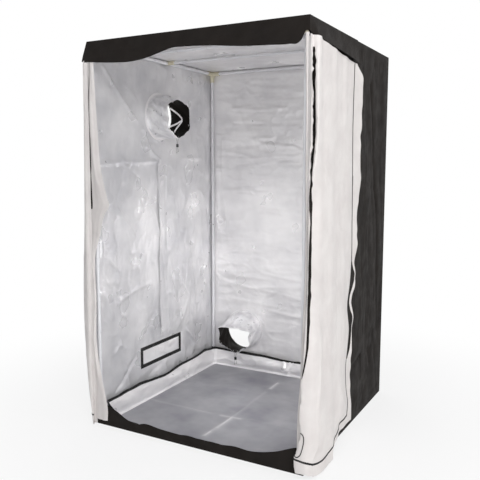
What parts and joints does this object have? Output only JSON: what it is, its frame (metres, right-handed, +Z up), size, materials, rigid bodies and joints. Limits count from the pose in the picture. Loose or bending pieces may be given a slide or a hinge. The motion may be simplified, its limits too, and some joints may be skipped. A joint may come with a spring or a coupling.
{
  "type": "indoor grow tent",
  "caption": "Square fabric grow tent on a plugged tube frame, with double zip doors folded back, floor tray, two duct ports, low vent and hanging bars.",
  "frame": {"origin": "middle of the footprint, on the underside of the ground sheet", "axes": "+Z up, +X to the right seen from the door, +Y to the rear; the doorway faces -Y"},
  "size_m": [1.2419, 1.2145, 2],
  "materials": {
    "black_canvas": "matt woven black canvas",
    "door_cloth": "white laminated lining on black canvas",
    "silver_lining": "silver film laminated on cloth",
    "white_steel": "white powder coat",
    "cream_plastic": "moulded cream plastic",
    "black_webbing": "black woven binding",
    "black_zip": "black coil zip and slider",
    "black_plastic": "black moulded plastic",
    "grey_net": "grey mesh",
    "grey_cord": "braided cord"
  },
  "bodies": {
    "tent": {"bottom_rail_front": "white_steel", "bottom_rail_left": "white_steel", "bottom_rail_rear": "white_steel", "bottom_rail_right": "white_steel", "corner_bottom_front_left": "cream_plastic", "corner_bottom_front_right": "cream_plastic", "corner_bottom_rear_left": "cream_plastic", "corner_bottom_rear_right": "cream_plastic", "corner_top_front_left": "cream_plastic", "corner_top_front_right": "cream_plastic", "corner_top_rear_left": "cream_plastic", "corner_top_rear_right": "cream_plastic", "floor_tray": "silver_lining", "front_sill": "black_canvas", "ground_sheet": "black_canvas", "header_band": "black_canvas", "left_jamb": "black_canvas", "left_wall": "black_canvas", "lower_drawcord": "grey_cord", "lower_duct_sleeve": "silver_lining", "post_lower_front_left": "white_steel", "post_lower_front_right": "white_steel", "post_lower_rear_left": "white_steel", "post_lower_rear_right": "white_steel", "post_upper_front_left": "white_steel", "post_upper_front_right": "white_steel", "post_upper_rear_left": "white_steel", "post_upper_rear_right": "white_steel", "rear_wall": "black_canvas", "right_jamb": "black_canvas", "right_wall": "black_canvas", "roof_panel": "black_canvas", "top_rail_front": "white_steel", "top_rail_left": "white_steel", "top_rail_rear": "white_steel", "top_rail_right": "white_steel", "tray_binding": "black_webbing", "tray_tie_front_left": "black_webbing", "tray_tie_front_right": "black_webbing", "tray_tie_rear_left": "black_webbing", "tray_tie_rear_right": "black_webbing", "upper_drawcord": "grey_cord", "upper_duct_sleeve": "silver_lining", "vent_net": "grey_net"},
    "right_door": {"right_door_panel": "door_cloth", "right_door_zip": "black_zip"},
    "left_door": {"left_door_panel": "door_cloth", "left_door_zip": "black_zip"},
    "zip_slider": {"zip_slider": "black_zip"},
    "front_hanging_bar": {"hanging_bar_front": "white_steel", "bar_clip_front_left": "cream_plastic", "bar_clip_front_right": "cream_plastic"},
    "rear_hanging_bar": {"hanging_bar_rear": "white_steel", "bar_clip_rear_left": "cream_plastic", "bar_clip_rear_right": "cream_plastic"},
    "vent_cover": {"vent_cover": "silver_lining", "vent_cover_border": "black_webbing"},
    "upper_cord_lock": {"upper_cord_lock": "black_plastic"},
    "lower_cord_lock": {"lower_cord_lock": "black_plastic"}
  },
  "joints": [
    {"name": "right_door_swing", "type": "hinge", "parent": "tent", "child": "right_door", "pos_m": [0.612, -0.612, 0.95], "axis": [0, 0, 1], "range_deg": [-270, 0]},
    {"name": "left_door_swing", "type": "hinge", "parent": "tent", "child": "left_door", "pos_m": [-0.612, -0.612, 0.95], "axis": [0, 0, 1], "range_deg": [0, 270]},
    {"name": "zip_slide", "type": "slide", "parent": "right_door", "child": "zip_slider", "axis": [0, 0, 1], "range_m": [-1.17, 0.54]},
    {"name": "front_bar_slide", "type": "slide", "parent": "tent", "child": "front_hanging_bar", "axis": [0, 1, 0], "range_m": [-0.26, 0.14]},
    {"name": "rear_bar_slide", "type": "slide", "parent": "tent", "child": "rear_hanging_bar", "axis": [0, 1, 0], "range_m": [-0.13, 0.43]},
    {"name": "vent_cover_fold", "type": "hinge", "parent": "tent", "child": "vent_cover", "pos_m": [-0.5952, -0.015, 0.314], "axis": [0, -1, 0], "range_deg": [0, 165]},
    {"name": "upper_cord_lock_slide", "type": "slide", "parent": "tent", "child": "upper_cord_lock", "axis": [0, 0, -1], "range_m": [0, 0.02]},
    {"name": "lower_cord_lock_slide", "type": "slide", "parent": "tent", "child": "lower_cord_lock", "axis": [0, 0, -1], "range_m": [0, 0.02]}
  ]
}
